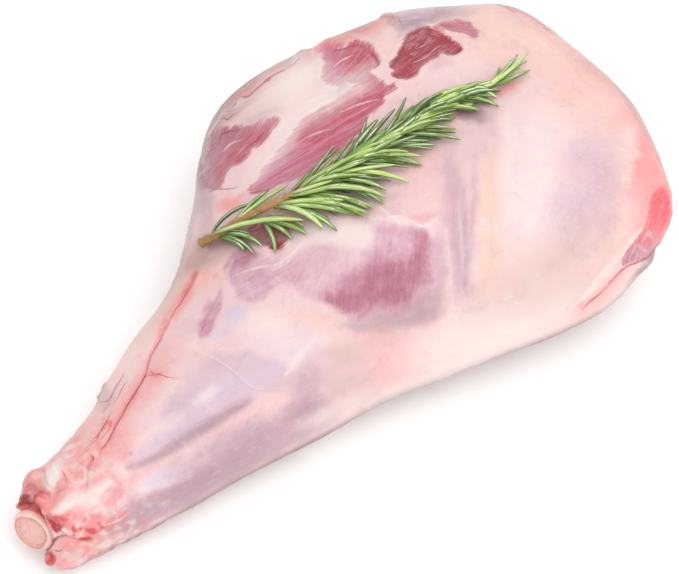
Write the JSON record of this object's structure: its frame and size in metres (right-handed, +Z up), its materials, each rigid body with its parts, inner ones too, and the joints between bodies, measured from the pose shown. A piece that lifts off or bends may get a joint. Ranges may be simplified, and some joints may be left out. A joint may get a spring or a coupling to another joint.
{
  "type": "raw leg of lamb",
  "caption": "Whole raw leg of lamb with a sawn shank bone, a full rounded rump, a thin coat of fat and membrane, and a sprig of rosemary laid across it.",
  "frame": {"origin": "on the floor, under the middle of the leg's box", "axes": "+X from the shank end to the rump end, +Y to the flank side, +Z up, with the leg lying on its side as it rests"},
  "size_m": [0.3793, 0.2161, 0.1074],
  "materials": {
    "meat": "satin",
    "bone": "satin",
    "rosemary": "satin"
  },
  "bodies": {
    "root": {"leg": "meat", "shank_bone": "bone", "rosemary_sprig": "rosemary"}
  },
  "joints": []
}
